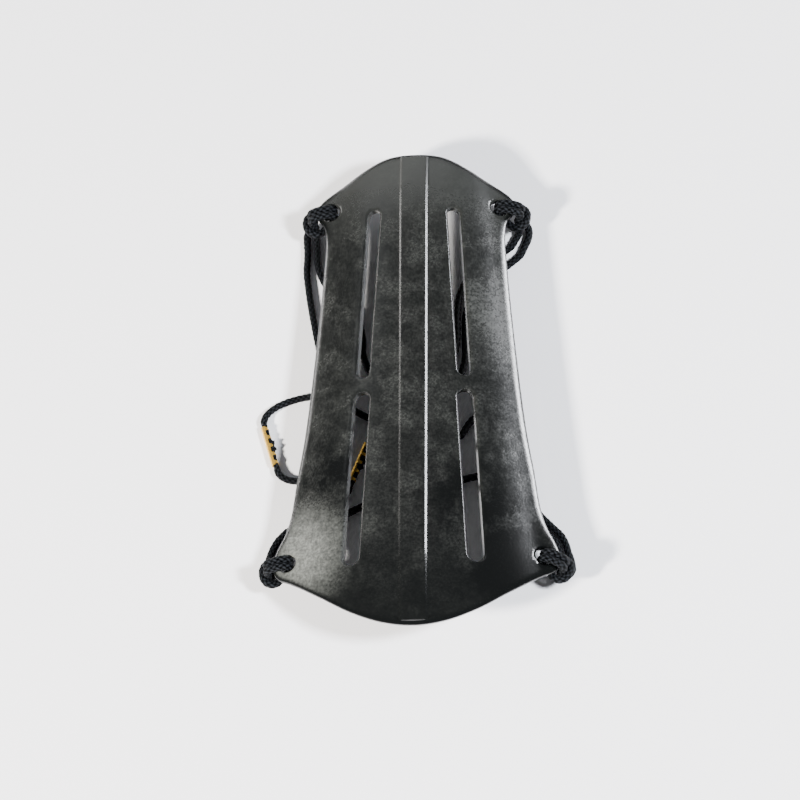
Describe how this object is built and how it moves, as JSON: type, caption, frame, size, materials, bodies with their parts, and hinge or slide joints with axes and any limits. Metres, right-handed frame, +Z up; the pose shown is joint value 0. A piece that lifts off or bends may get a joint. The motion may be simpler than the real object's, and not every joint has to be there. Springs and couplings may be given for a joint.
{
  "type": "arm guard",
  "caption": "Arched plastic archery arm guard, waisted and slotted, with a raised middle band and elastic cord loops hitched to its ears and closed by brass crimps.",
  "frame": {"origin": "on the table under the middle of the guard, at the centre of the box of the shell and its cord hitches", "axes": "+X across the guard to the right in the picture, +Y along it to the narrower wrist end, +Z up from the table"},
  "size_m": [0.1054, 0.1745, 0.0271],
  "materials": {
    "shell_plastic": "satin moulded black",
    "elastic_cord": "braided black cover",
    "crimp_brass": "bright pressed brass"
  },
  "bodies": {
    "root": {"guard_shell": "shell_plastic", "wrist_left_hitch": "elastic_cord", "wrist_right_hitch": "elastic_cord", "elbow_left_hitch": "elastic_cord", "elbow_right_hitch": "elastic_cord", "wrist_plain_strand": "elastic_cord", "wrist_left_strand": "elastic_cord", "wrist_right_strand": "elastic_cord", "elbow_plain_strand": "elastic_cord", "elbow_left_strand": "elastic_cord", "elbow_right_strand": "elastic_cord", "wrist_crimp": "crimp_brass", "elbow_crimp": "crimp_brass"}
  },
  "joints": []
}
